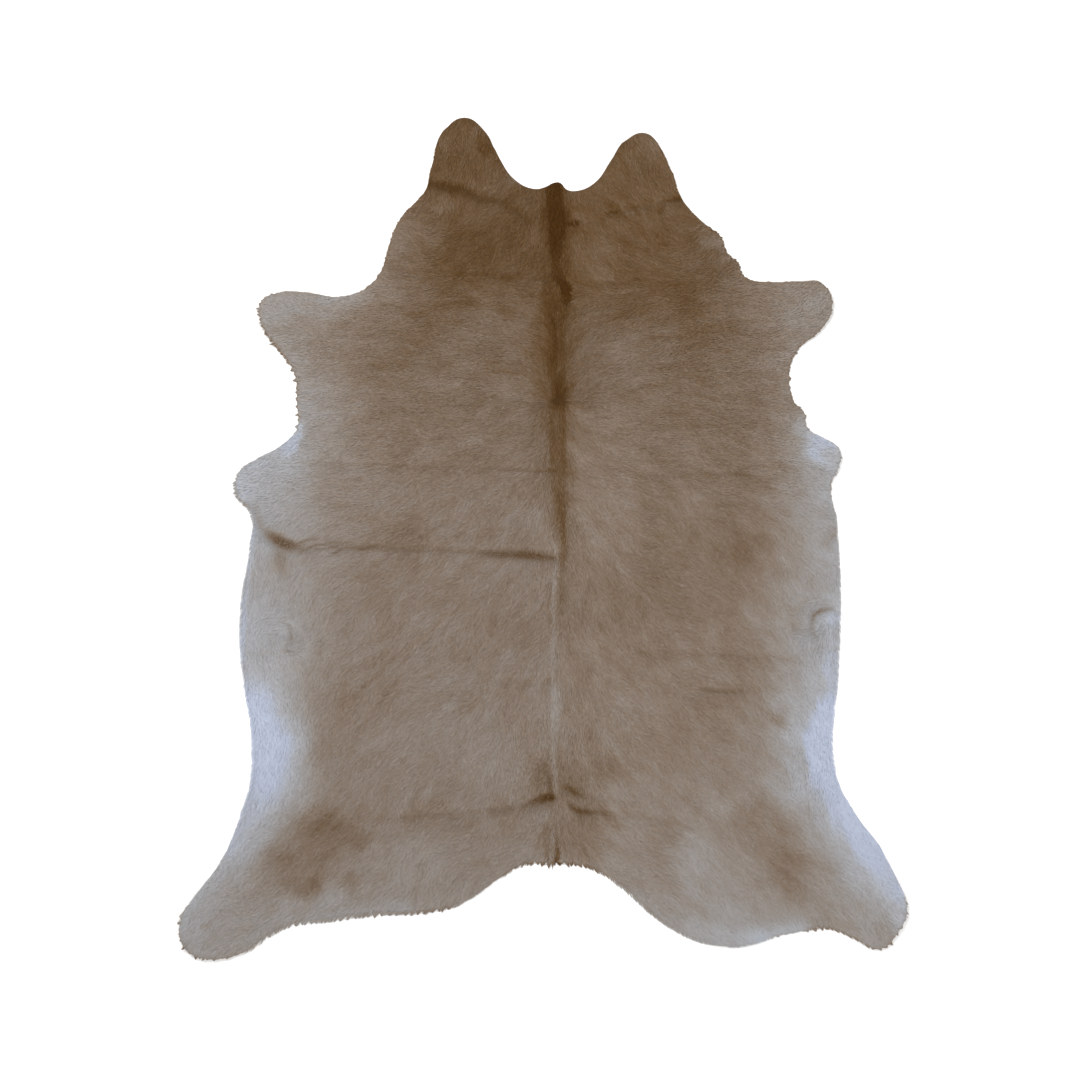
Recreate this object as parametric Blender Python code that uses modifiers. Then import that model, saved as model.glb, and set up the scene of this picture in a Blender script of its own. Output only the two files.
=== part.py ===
"""A cowhide tanned with the hair on, laid out flat with the hair side up.

The hide is one skin, trimmed to its natural outline: two neck flaps, forelegs, brisket, belly, hind legs
and the rump around the tail root. It lies flat on its back, lifted only along the creases that it keeps
from being folded, and a little at the ends of the legs and flaps.

Metres, +Z up, +Y towards the neck. The origin is at the middle of the hide, on the surface it lies on.
"""
import math
from collections import namedtuple

import bmesh
import bpy
from mathutils import Vector

# Driving sizes
MM = 0.001
LEATHER_THICKNESS = 2.0 * MM
NAP_THICKNESS = 4.0 * MM
HIDE_THICKNESS = LEATHER_THICKNESS + NAP_THICKNESS
HIDE_COLOUR = (0.238, 0.184, 0.141, 1.0)
HIDE_ROUGHNESS = 0.85

# How finely the sheet is divided
EDGE_STEPS = 8
GRID_ACROSS = 45.0 * MM
GRID_ALONG = 45.0 * MM
SNAP = 4.0 * MM
CREASE_ROWS = (-1.0, -0.5, 0.0, 0.5, 1.0)

# The outline, read down both sides from the nape to the tail root. Each row is one landmark on the edge:
# millimetres out from the spine and down from the nape, on the left side and on the right side.
Landmark = namedtuple("Landmark", "place left_out left_down right_out right_down")

NECK = (
    Landmark("nape", 12, 0, 6, 0),
    Landmark("nape foot", 32, 10, 20, 16),
    Landmark("nape notch", 60, 15, 45, 20),
    Landmark("flap inner foot", 110, -10, 90, 0),
    Landmark("flap inner slope", 145, -60, 130, -55),
    Landmark("flap inner shoulder", 180, -130, 165, -105),
    Landmark("flap tip", 235, -165, 215, -125),
    Landmark("flap outer shoulder", 290, -125, 255, -90),
    Landmark("flap outer side", 315, -45, 285, -25),
    Landmark("flap root", 335, 25, 305, 35),
    Landmark("cheek", 385, 75, 360, 95),
    Landmark("jaw", 410, 115, 410, 135),
    Landmark("throat", 430, 175, 425, 175),
    Landmark("throat foot", 445, 220, 450, 195),
)
FORELEG = (
    Landmark("foreleg root", 480, 260, 465, 230),
    Landmark("foreleg top", 545, 280, 515, 245),
    Landmark("foreleg top edge", 615, 270, 605, 245),
    Landmark("forefoot top", 690, 270, 655, 245),
    Landmark("forefoot tip", 745, 300, 685, 295),
    Landmark("forefoot bottom", 730, 370, 660, 360),
    Landmark("foreleg bottom", 675, 450, 595, 420),
    Landmark("armpit top", 660, 485, 575, 485),
    Landmark("armpit", 655, 560, 590, 545),
    Landmark("armpit foot", 650, 610, 615, 570),
)
BELLY = (
    Landmark("elbow bay", 685, 650, 625, 615),
    Landmark("brisket top", 755, 690, 660, 635),
    Landmark("brisket corner", 795, 720, 700, 665),
    Landmark("brisket tip", 800, 775, 700, 705),
    Landmark("brisket foot", 765, 820, 680, 750),
    Landmark("belly top", 765, 900, 690, 835),
    Landmark("belly", 785, 1025, 700, 1010),
    Landmark("belly widest", 790, 1130, 700, 1125),
    Landmark("belly foot", 780, 1260, 695, 1260),
    Landmark("flank", 760, 1375, 680, 1375),
    Landmark("flank foot", 765, 1500, 695, 1485),
)
HIND_LEG = (
    Landmark("thigh", 800, 1600, 750, 1585),
    Landmark("thigh foot", 835, 1680, 800, 1650),
    Landmark("shank", 900, 1770, 840, 1725),
    Landmark("hind foot outer", 940, 1820, 870, 1810),
    Landmark("hind foot corner", 940, 1895, 855, 1860),
    Landmark("hind foot end", 885, 1935, 800, 1910),
    Landmark("hind foot inner", 790, 1920, 725, 1875),
    Landmark("shank inner", 720, 1875, 660, 1855),
    Landmark("thigh inner", 670, 1850, 605, 1865),
)
RUMP = (
    Landmark("buttock top", 570, 1835, 530, 1880),
    Landmark("buttock", 450, 1820, 450, 1900),
    Landmark("buttock foot", 330, 1815, 370, 1895),
    Landmark("rump", 230, 1790, 265, 1845),
    Landmark("rump inner", 150, 1735, 160, 1755),
    Landmark("tail bay", 75, 1695, 80, 1705),
    Landmark("tail root", 25, 1695, 20, 1695),
)
OUTLINE = NECK + FORELEG + BELLY + HIND_LEG + RUMP

# Creases, in millimetres: from one end to the other, out from the spine (left is minus) and down from the
# nape, then half the width of the raised band and how high the skin stands at its crest.
Crease = namedtuple("Crease", "place start_out start_down end_out end_down half_width height")

CREASES = (
    Crease("left neck, outer", -330, -5, -240, 20, 22, 5.0),
    Crease("left neck, middle", -240, 20, -145, 55, 22, 4.5),
    Crease("left neck, inner", -145, 55, -65, 90, 20, 3.0),
    Crease("right neck, outer", 305, 40, 150, 75, 20, 5.0),
    Crease("right neck, inner", 150, 75, 30, 95, 18, 3.5),
    Crease("left shoulder", -420, 220, -20, 240, 20, 2.0),
    Crease("right shoulder", 30, 250, 205, 245, 18, 2.5),
    Crease("left ribs", -570, 700, -10, 720, 20, 2.5),
    Crease("right ribs", 200, 725, 605, 800, 24, 1.5),
    Crease("left flank pleat", -765, 855, -705, 893, 22, 8.0),
    Crease("left flank, outer", -705, 893, -590, 915, 22, 7.0),
    Crease("left flank, middle", -590, 915, -170, 915, 20, 3.0),
    Crease("left flank, inner", -180, 915, -5, 943, 20, 6.0),
    Crease("left flank branch", -690, 925, -680, 965, 16, 3.0),
    Crease("right flank", 5, 912, 205, 915, 22, 1.5),
    Crease("right belly", 635, 1160, 705, 1165, 20, 4.0),
    Crease("right loin", 205, 1175, 605, 1185, 24, 1.5),
    Crease("left loin", -470, 1260, -245, 1065, 26, 2.0),
    Crease("left loin, inner", -145, 1243, -20, 1243, 20, 1.5),
    Crease("right hip", 350, 1265, 455, 1265, 18, 3.5),
    Crease("left rump, inner", -65, 1550, -10, 1520, 18, 5.0),
    Crease("left rump, outer", -445, 1585, -60, 1550, 22, 2.5),
    Crease("right rump, inner", 15, 1520, 75, 1560, 18, 3.5),
    Crease("right rump, outer", 75, 1560, 305, 1590, 22, 2.5),
)

# Ends of the hide that curl up a little, in millimetres: the middle of the curl, how far it reaches and
# how high the skin stands there.
Curl = namedtuple("Curl", "place out down reach height")

CURLS = (
    Curl("left flap tip", -240, -165, 150, 6.0),
    Curl("right flap tip", 215, -125, 140, 5.0),
    Curl("left forefoot", -745, 320, 170, 9.0),
    Curl("right forefoot", 685, 300, 160, 7.0),
    Curl("left brisket", -800, 765, 110, 6.0),
    Curl("right brisket", 700, 690, 90, 5.0),
    Curl("left hind foot", -935, 1880, 210, 10.0),
    Curl("right hind foot", 865, 1850, 190, 8.0),
    Curl("right buttock", 460, 1905, 120, 4.0),
)


def on_sheet(out, down):
    """A place in millimetres from the spine and the nape, as a point in metres."""
    return Vector((out * MM, -down * MM, 0.0))


def outline_points():
    """The landmarks once round the hide: down its left side and back up its right side."""
    left = [on_sheet(-mark.left_out, mark.left_down) for mark in OUTLINE]
    right = [on_sheet(mark.right_out, mark.right_down) for mark in OUTLINE]
    return left + right[::-1]


def make_outline_sheet():
    """The outline as one smooth closed curve, filled to a flat sheet of one face."""
    curve = bpy.data.curves.new("hide_outline", "CURVE")
    curve.dimensions = "2D"
    curve.fill_mode = "BOTH"
    curve.resolution_u = EDGE_STEPS
    points = outline_points()
    spline = curve.splines.new("BEZIER")
    spline.bezier_points.add(len(points) - 1)
    for bezier_point, point in zip(spline.bezier_points, points):
        bezier_point.co = point
        bezier_point.handle_left_type = "AUTO"
        bezier_point.handle_right_type = "AUTO"
    spline.use_cyclic_u = True
    guide = bpy.data.objects.new("hide_outline", curve)
    bpy.context.scene.collection.objects.link(guide)
    bpy.context.view_layer.update()
    evaluated = guide.evaluated_get(bpy.context.evaluated_depsgraph_get())
    mesh = bpy.data.meshes.new_from_object(evaluated)
    bpy.data.objects.remove(guide)

    sheet = bmesh.new()
    sheet.from_mesh(mesh)
    bpy.data.meshes.remove(mesh)
    bmesh.ops.remove_doubles(sheet, verts=sheet.verts, dist=0.1 * MM)
    inner_edges = [edge for edge in sheet.edges if len(edge.link_faces) == 2]
    bmesh.ops.dissolve_edges(sheet, edges=inner_edges, use_verts=False)
    for face in sheet.faces:
        if face.normal.z < 0.0:
            face.normal_flip()
    return sheet


def cut(sheet, faces, point, across):
    """Divide some faces of the sheet along the upright plane through a point, square to a direction."""
    geometry = set(faces)
    for face in faces:
        geometry.update(face.edges)
        geometry.update(face.verts)
    bmesh.ops.bisect_plane(
        sheet,
        geom=list(geometry),
        dist=SNAP,
        plane_co=point,
        plane_no=across,
    )


def cut_grid(sheet):
    """Divide the whole sheet into even rows and columns."""
    low_x = min(vert.co.x for vert in sheet.verts)
    high_x = max(vert.co.x for vert in sheet.verts)
    low_y = min(vert.co.y for vert in sheet.verts)
    high_y = max(vert.co.y for vert in sheet.verts)
    columns = round((high_x - low_x) / GRID_ACROSS)
    rows = round((high_y - low_y) / GRID_ALONG)
    for column in range(1, columns):
        x = low_x + (high_x - low_x) * column / columns
        cut(sheet, sheet.faces[:], Vector((x, 0.0, 0.0)), Vector((1.0, 0.0, 0.0)))
    for row in range(1, rows):
        y = low_y + (high_y - low_y) * row / rows
        cut(sheet, sheet.faces[:], Vector((0.0, y, 0.0)), Vector((0.0, 1.0, 0.0)))


def crease_place(crease, point):
    """Where a point lies on a crease: 0 to 1 along it, and metres to its side."""
    start = on_sheet(crease.start_out, crease.start_down)
    run = on_sheet(crease.end_out, crease.end_down) - start
    along = run.normalized()
    side = Vector((-along.y, along.x, 0.0))
    return (point - start).dot(along) / run.length, (point - start).dot(side)


def faces_under(sheet, crease):
    """The faces that a crease's raised band touches."""
    reach = crease.half_width * MM
    found = []
    for face in sheet.faces:
        places = [crease_place(crease, vert.co) for vert in face.verts]
        alongs = [place[0] for place in places]
        sides = [place[1] for place in places]
        if max(alongs) > 0.0 and min(alongs) < 1.0 and max(sides) > -reach and min(sides) < reach:
            found.append(face)
    return found


def cut_crease(sheet, crease):
    """Divide the sheet along a crease: its crest, its flanks and its feet."""
    start = on_sheet(crease.start_out, crease.start_down)
    along = (on_sheet(crease.end_out, crease.end_down) - start).normalized()
    side = Vector((-along.y, along.x, 0.0))
    for row in CREASE_ROWS:
        point = start + side * (row * crease.half_width * MM)
        cut(sheet, faces_under(sheet, crease), point, side)


def crease_height(crease, point):
    """How high one crease lifts the skin at a point."""
    along, aside = crease_place(crease, point)
    half_width = crease.half_width * MM
    run = math.hypot(crease.end_out - crease.start_out, crease.end_down - crease.start_down) * MM
    past_end = max(-along, along - 1.0, 0.0) * run
    distance = math.hypot(aside, past_end) / half_width
    if distance >= 1.0:
        return 0.0
    return crease.height * MM * 0.5 * (1.0 + math.cos(math.pi * distance))


def curl_height(curl, point):
    """How high one curled end lifts the skin at a point."""
    distance = (point - on_sheet(curl.out, curl.down)).length / (curl.reach * MM)
    if distance >= 1.0:
        return 0.0
    return curl.height * MM * (1.0 - distance * distance) ** 2


def raise_sheet(sheet):
    """Lift the flat sheet along its creases and at its curled ends."""
    for vert in sheet.verts:
        crest = max(crease_height(crease, vert.co) for crease in CREASES)
        curl = sum(curl_height(curl, vert.co) for curl in CURLS)
        vert.co.z = crest + curl


def centre_sheet(sheet):
    """Move the sheet so that the middle of its outline is at the origin."""
    xs = [vert.co.x for vert in sheet.verts]
    ys = [vert.co.y for vert in sheet.verts]
    middle = Vector(((min(xs) + max(xs)) / 2.0, (min(ys) + max(ys)) / 2.0, 0.0))
    bmesh.ops.translate(sheet, verts=sheet.verts, vec=-middle)


def hide_material():
    """Short brown hair on leather: matt, with no metal in it."""
    material = bpy.data.materials.new("hide_hair")
    material.use_nodes = True
    shader = material.node_tree.nodes["Principled BSDF"]
    shader.inputs["Base Color"].default_value = HIDE_COLOUR
    shader.inputs["Roughness"].default_value = HIDE_ROUGHNESS
    shader.inputs["Metallic"].default_value = 0.0
    return material


def make_hide(collection):
    """The whole hide: the shaped sheet, thickened upwards from its back."""
    sheet = make_outline_sheet()
    cut_grid(sheet)
    for crease in CREASES:
        cut_crease(sheet, crease)
    bmesh.ops.triangulate(sheet, faces=sheet.faces[:])
    raise_sheet(sheet)
    centre_sheet(sheet)
    mesh = bpy.data.meshes.new("hide")
    sheet.to_mesh(mesh)
    sheet.free()
    mesh.materials.append(hide_material())
    mesh.shade_smooth()

    hide = bpy.data.objects.new("hide", mesh)
    collection.objects.link(hide)
    thickness = hide.modifiers.new("thickness", "SOLIDIFY")
    thickness.thickness = HIDE_THICKNESS
    thickness.offset = 1.0
    thickness.use_rim = True
    return hide


for old_object in list(bpy.data.objects):
    bpy.data.objects.remove(old_object)

hide_collection = bpy.data.collections.new("leather_hide")
bpy.context.scene.collection.children.link(hide_collection)
make_hide(hide_collection)
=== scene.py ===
"""A cowhide tanned with the hair on, laid flat and seen from straight above.

The skin is a closed leather sheet on the CAD solid's outline and creases, with a suede back. The coat on it
is real geometry: short tapered locks of hair that lie along the combing of the animal's coat, overhang the
cut edge and carry the brown neck, the dark line of the back and the pale belly.

Metres. Tables give places in millimetres out from the spine (left is minus) and down from the nape. The
words that start the rows and groups of a table say where they are on the hide.
"""
import math
from collections import namedtuple

import bmesh
import bpy
import numpy as np
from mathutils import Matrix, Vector, bvhtree, geometry, kdtree


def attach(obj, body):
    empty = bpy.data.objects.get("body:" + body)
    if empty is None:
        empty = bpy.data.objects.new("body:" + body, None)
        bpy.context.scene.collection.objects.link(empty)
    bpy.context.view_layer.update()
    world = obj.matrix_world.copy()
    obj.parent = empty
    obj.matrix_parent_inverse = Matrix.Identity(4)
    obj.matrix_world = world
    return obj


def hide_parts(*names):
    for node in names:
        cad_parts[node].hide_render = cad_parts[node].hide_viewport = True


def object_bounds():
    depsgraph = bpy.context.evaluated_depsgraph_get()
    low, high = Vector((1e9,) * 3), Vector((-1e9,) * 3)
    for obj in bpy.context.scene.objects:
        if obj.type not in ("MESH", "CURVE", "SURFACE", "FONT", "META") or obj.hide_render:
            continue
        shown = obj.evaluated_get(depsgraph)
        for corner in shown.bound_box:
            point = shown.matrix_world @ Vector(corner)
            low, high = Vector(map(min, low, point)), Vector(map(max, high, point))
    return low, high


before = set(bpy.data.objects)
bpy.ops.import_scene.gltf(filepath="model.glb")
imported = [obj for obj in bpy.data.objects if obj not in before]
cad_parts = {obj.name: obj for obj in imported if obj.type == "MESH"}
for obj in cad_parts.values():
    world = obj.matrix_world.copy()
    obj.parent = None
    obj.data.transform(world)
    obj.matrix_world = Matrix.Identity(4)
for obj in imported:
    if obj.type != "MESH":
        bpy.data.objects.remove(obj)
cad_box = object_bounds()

MM = 0.001
SPINE_X = 39.3 * MM
NAPE_Y = 886.6 * MM

# Leather
LEATHER_THICKNESS = 2.0 * MM
EDGE_INSET = 1.0 * MM
EDGE_STEP = 7.0 * MM
TOP_PITCH = 8.0 * MM
BACK_PITCH = 16.0 * MM
LATTICE_GAP = 0.45
PLAN_MARGIN = 20.0 * MM
JOIN_DISTANCE = 1e-7
SHARP_ANGLE = 50.0

# Fields over the hide
RELIEF_PITCH = 6.0 * MM
COAT_PITCH = 3.0 * MM
CREASE_PITCH = 2.0 * MM
FIELD_MARGIN = 45.0 * MM
OUTLINE_STEP = 2.0 * MM
LEVEL_NORMAL = 0.6

# Coat: the ranges are shares of the length, the width and the rise, but the rise's own is in millimetres
LOCK_PITCH = 2.50 * MM
LOCK_LENGTH = 15.0 * MM
LENGTH_RANGE = (0.75, 1.3)
LOCK_WIDTH = 1.7 * MM
WIDTH_RANGE = (0.7, 1.3)
RISE_RANGE = (0.8, 2.6)
TIP_RISE_RANGE = (0.2, 0.9)
ROOT_MARGIN = 0.3 * MM
ROOT_SINK = 0.1 * MM
SHORTEST_RUN = 0.1 * MM
SHORTEST_SHARE = 0.15
LOCK_BULGE = 0.4
LOCK_PIECES = 5
STRAND_STRETCH = 8.0
STRAND_SPREAD = 50.0
HEADING_SPREAD = 0.17
ROLL_SPREAD = 0.25
EDGE_HANG = 1.5 * MM
OVERHANG_RANGE = (0.85, 1.1)
LEAN = 2.0
LEAN_DEPTH = 12.0 * MM
DROOP = 0.55
DROOP_REACH = 6.0 * MM

# The edge: its tufts, and the cores of its stretches
FRINGE_CORE = 0.6
FRINGE_HANG = 7.5 * MM
FRINGE_GROWTH = 0.25
FRINGE_LEAST = 0.1
TUFT_RANGE = (0.2, 1.0)
TUFT_STEPS = (3, 12)
TUFT_REACH = 11.0 * MM
POINT_SPREAD = 0.6 * MM
GATHERED = 0.75
SLOPE_GAIN = 1.6
LEAST_SLOPE = 0.4
EDGE_CORE = 0.5

# Where along a lock its lightness is taken, and how a crease darkens it, partly with painted shade, and
# shortens it
SAMPLE_RANGE = (0.15, 0.75)
SAMPLE_SPREAD = 2.5 * MM
CLUMP_WIDTH = 9.0 * MM
CLUMP_SHARE = 0.2
CREASE_SHARE = 0.3
CREASE_RANGE = (0.5, 1.5)
SHARP_DROP = 13.0
CREASE_CUT = 0.7

# Unevenness of the creases: how far they waver and how much the skin waves, in millimetres
CREASE_WAVER = 1.2
CREASE_CHANGE = 0.25
SKIN_WAVE = 0.25

# Unevenness of the coat: lightness steps of 255, and how far the edges of markings wander
CALM_LIGHTNESS = (60.0, 110.0, 150.0, 175.0, 188.0)
CALM_SHARE = (0.8, 1.05, 0.65, 0.55, 0.12)
MIDDLE_WIDTH = 120.0
LOCK_SPREAD = 4.4
FINE_SPREAD = 2.6
TUFT_SPREAD = 2.6
CLOUD_SPREAD = 1.9
PATCH_DRIFT = 9.0 * MM
TUFT_DRIFT = 3.5 * MM
MARK_DRIFT = 0.16
# Painted shade on the ends of the hair along a tufted edge: how far in it reaches, and how much darker.
RIM_WIDTH = 4.0 * MM
RIM_DROP = 30.0

# Combing: a guide's reach and the blend at the spine are in millimetres, and the waver in radians
GUIDE_REACH = 30.0
GUIDE_FALL = 1.6
SPINE_BLEND = 40.0
WHORL_PULL = 1.2
WHORL_OUTWARD = 0.5
WIDE_WAVER = 0.16
FINE_WAVER = 0.14
TINY = 1e-6


def grouped(kind, table):
    """The rows of a table of named groups, in their order."""
    return [kind(*row) for group in table.values() for row in group]


def lines(kind, table):
    """A table of stripes or folds, whose rows give two numbers and then knots."""
    return [kind(*row[:2], [Knot(*knot) for knot in row[2:]]) for row in table.values()]


def stretches(core, table):
    """A table of stretches of the edge, whose rows give knots."""
    return [Line(core, 1.0, [Knot(*knot) for knot in knots]) for knots in table.values()]


Side = namedtuple("Side", "back turn pale edge")
Level = namedtuple("Level", "down left right")

# The lightness of the hair, 0 black to 255 white, at levels down the back. On each side it keeps the back's
# lightness out to the turn, and has paled to the edge's at the last place.
LEVELS = [Level(down, Side(*left), Side(*right)) for down, left, right in {
    "flap tips": (-160, (85, 400, 600, 110), (87, 400, 600, 110)),
    "nape": (0, (86, 300, 460, 105), (87, 320, 450, 105)),
    "neck": (150, (86, 220, 460, 118), (87, 340, 470, 115)),
    "throat": (225, (87, 240, 560, 120), (88, 300, 560, 120)),
    "shoulder tops": (300, (96, 270, 620, 145), (94, 310, 680, 139)),
    "shoulders": (375, (104, 320, 760, 138), (101, 400, 680, 137)),
    "withers": (450, (107, 400, 730, 139), (108, 430, 640, 137)),
    "chest": (525, (111, 410, 720, 150), (110, 450, 720, 148)),
    "upper ribs": (675, (112, 430, 760, 168), (110, 440, 740, 174)),
    "ribs": (775, (118, 430, 820, 172), (112, 430, 760, 168)),
    "lower ribs": (975, (121, 430, 800, 156), (115, 420, 800, 168)),
    "belly": (1125, (120, 420, 820, 166), (118, 410, 770, 182)),
    "low belly": (1200, (121, 455, 830, 170), (116, 420, 760, 178)),
    "flank": (1275, (122, 515, 770, 188), (117, 420, 715, 174)),
    "low flank": (1400, (127, 560, 712, 190), (121, 435, 675, 178)),
    "hip": (1500, (126, 560, 750, 187), (126, 390, 780, 190)),
    "thigh top": (1575, (124, 600, 800, 178), (126, 555, 745, 192)),
    "thigh": (1650, (130, 620, 850, 180), (125, 560, 775, 188)),
    "shank": (1725, (134, 650, 900, 168), (134, 600, 860, 182)),
    "hind feet": (1800, (139, 740, 960, 168), (141, 660, 890, 174)),
    "soles": (1900, (144, 840, 980, 156), (149, 760, 900, 162)),
}.values()]

Patch = namedtuple("Patch", "lightness out down reach_out reach_down turn core strength")

# Soft-edged ovals of darker and paler hair, laid one over another. The turn is in degrees, anticlockwise
# from above, and the core is the share of the reach that has the full strength.
PATCHES = grouped(Patch, {
    "neck flaps": ((72, -193, -88, 42, 24, -35, 0.1, 0.9), (79, -228, -152, 48, 20, 0, 0.1, 0.8),
        (98, -211, -121, 22, 13, -30, 0.1, 0.8), (94, -285, -95, 40, 50, 0, 0.1, 0.7),
        (103, 240, -85, 42, 60, 25, 0.1, 0.8)),
    "neck and cheek": ((99, -100, 0, 55, 30, 0, 0.1, 0.7), (97, -285, 50, 60, 22, 0, 0.2, 0.8),
        (97, 95, 190, 55, 170, 0, 0.2, 0.9), (80, 245, 142, 45, 40, 0, 0.1, 0.7),
        (106, 360, 120, 55, 60, 0, 0.1, 0.7)),
    "shoulders": ((88, 310, 250, 90, 115, 0, 0.1, 0.8), (110, -205, 375, 75, 60, 0, 0.2, 0.8),
        (98, -300, 365, 45, 50, 0, 0.1, 0.7)),
    "mane and withers": ((93, -18, 360, 85, 170, 0, 0.1, 0.7), (96, 2, 560, 70, 110, 0, 0.1, 0.7)),
    "back and ribs": ((119, 190, 700, 90, 130, 0, 0.1, 0.8), (125, 120, 860, 110, 250, 0, 0.2, 0.8),
        (129, -105, 830, 80, 70, 0, 0.2, 0.8), (126, -150, 1000, 150, 110, 0, 0.2, 0.8),
        (113, -400, 865, 100, 75, 0, 0.2, 0.8)),
    "loin": ((131, -10, 1230, 75, 150, 0, 0.2, 0.8), (129, -220, 1240, 110, 60, 0, 0.1, 0.7),
        (118, 520, 1350, 70, 50, 0, 0.1, 0.7)),
    "cheek, throat and withers": ((116, 150, 440, 90, 110, 0, 0.1, 0.7),
        (99, -400, 235, 60, 60, 0, 0.1, 0.7), (126, 420, 160, 50, 50, 0, 0.1, 0.7),
        (121, 130, 600, 60, 60, 0, 0.1, 0.7)),
    "right loin": ((113, 400, 1275, 70, 60, 0, 0.1, 0.7), (116, 75, 1370, 70, 90, 0, 0.1, 0.7)),
    "rump and tail": ((102, 20, 1500, 140, 110, 0, 0.15, 0.85), (101, 88, 1580, 95, 72, 0, 0.1, 0.85),
        (106, 115, 1465, 80, 70, 0, 0.1, 0.7), (112, 70, 1652, 75, 62, 0, 0.2, 0.85),
        (107, 0, 1630, 80, 75, 0, 0.1, 0.8)),
    "buttocks and left hip": ((139, -345, 1700, 160, 125, 0, 0.1, 0.8),
        (130, -450, 1530, 110, 70, 0, 0.1, 0.6), (151, -400, 1805, 75, 45, 0, 0.1, 0.8),
        (147, 352, 1685, 112, 155, 0, 0.1, 0.9), (152, 400, 1810, 80, 50, 0, 0.1, 0.8)),
    "left thigh": ((115, -615, 1668, 188, 112, 40, 0.3, 0.9), (97, -592, 1590, 88, 66, 0, 0.1, 0.8),
        (101, -627, 1746, 80, 52, 0, 0.1, 0.8), (109, -690, 1690, 50, 36, 0, 0.1, 0.8),
        (108, -494, 1642, 58, 38, 0, 0.1, 0.8), (118, -512, 1752, 60, 40, 0, 0.1, 0.7)),
    "left hind foot": ((124, -866, 1849, 16, 11, 0, 0.1, 0.7), (156, -915, 1822, 34, 30, 0, 0.1, 0.6)),
    "right thigh and hip": ((119, 548, 1688, 165, 74, -58, 0.3, 0.95),
        (143, 405, 1562, 65, 58, 0, 0.1, 0.8)),
    "right flank": ((176, 680, 1215, 52, 80, 0, 0.3, 0.9), (190, 672, 1395, 66, 152, 0, 0.55, 1.0)),
    "belly whorls": ((160, -700, 1135, 22, 22, 0, 0.2, 0.8), (179, 676, 1108, 34, 26, 0, 0.2, 0.85)),
    "chest and forelegs": ((122, -606, 474, 36, 32, 0, 0.1, 0.5), (112, 400, 305, 62, 48, 0, 0.1, 0.6),
        (160, 605, 600, 44, 30, 30, 0.1, 0.7)),
    "flank fold and right belly": ((132, -700, 945, 48, 34, 0, 0.1, 0.6),
        (168, 692, 1055, 40, 34, 0, 0.1, 0.6)),
    "left chest": ((152, -627, 572, 28, 34, 0, 0.1, 0.7), (128, -600, 642, 34, 28, 0, 0.1, 0.6)),
    "left forefoot": ((131, -628, 305, 50, 26, -35, 0.1, 0.7), (147, -557, 290, 48, 18, 0, 0.1, 0.7)),
    "armpits": ((178, -668, 642, 54, 38, 25, 0.45, 0.95), (182, 655, 640, 70, 45, -15, 0.3, 0.9)),
    "right hind foot": ((140, 800, 1870, 40, 60, 30, 0.0, 0.7),),
})

Knot = namedtuple("Knot", "out down half_width tone")
Line = namedtuple("Line", "core strength knots")

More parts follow.
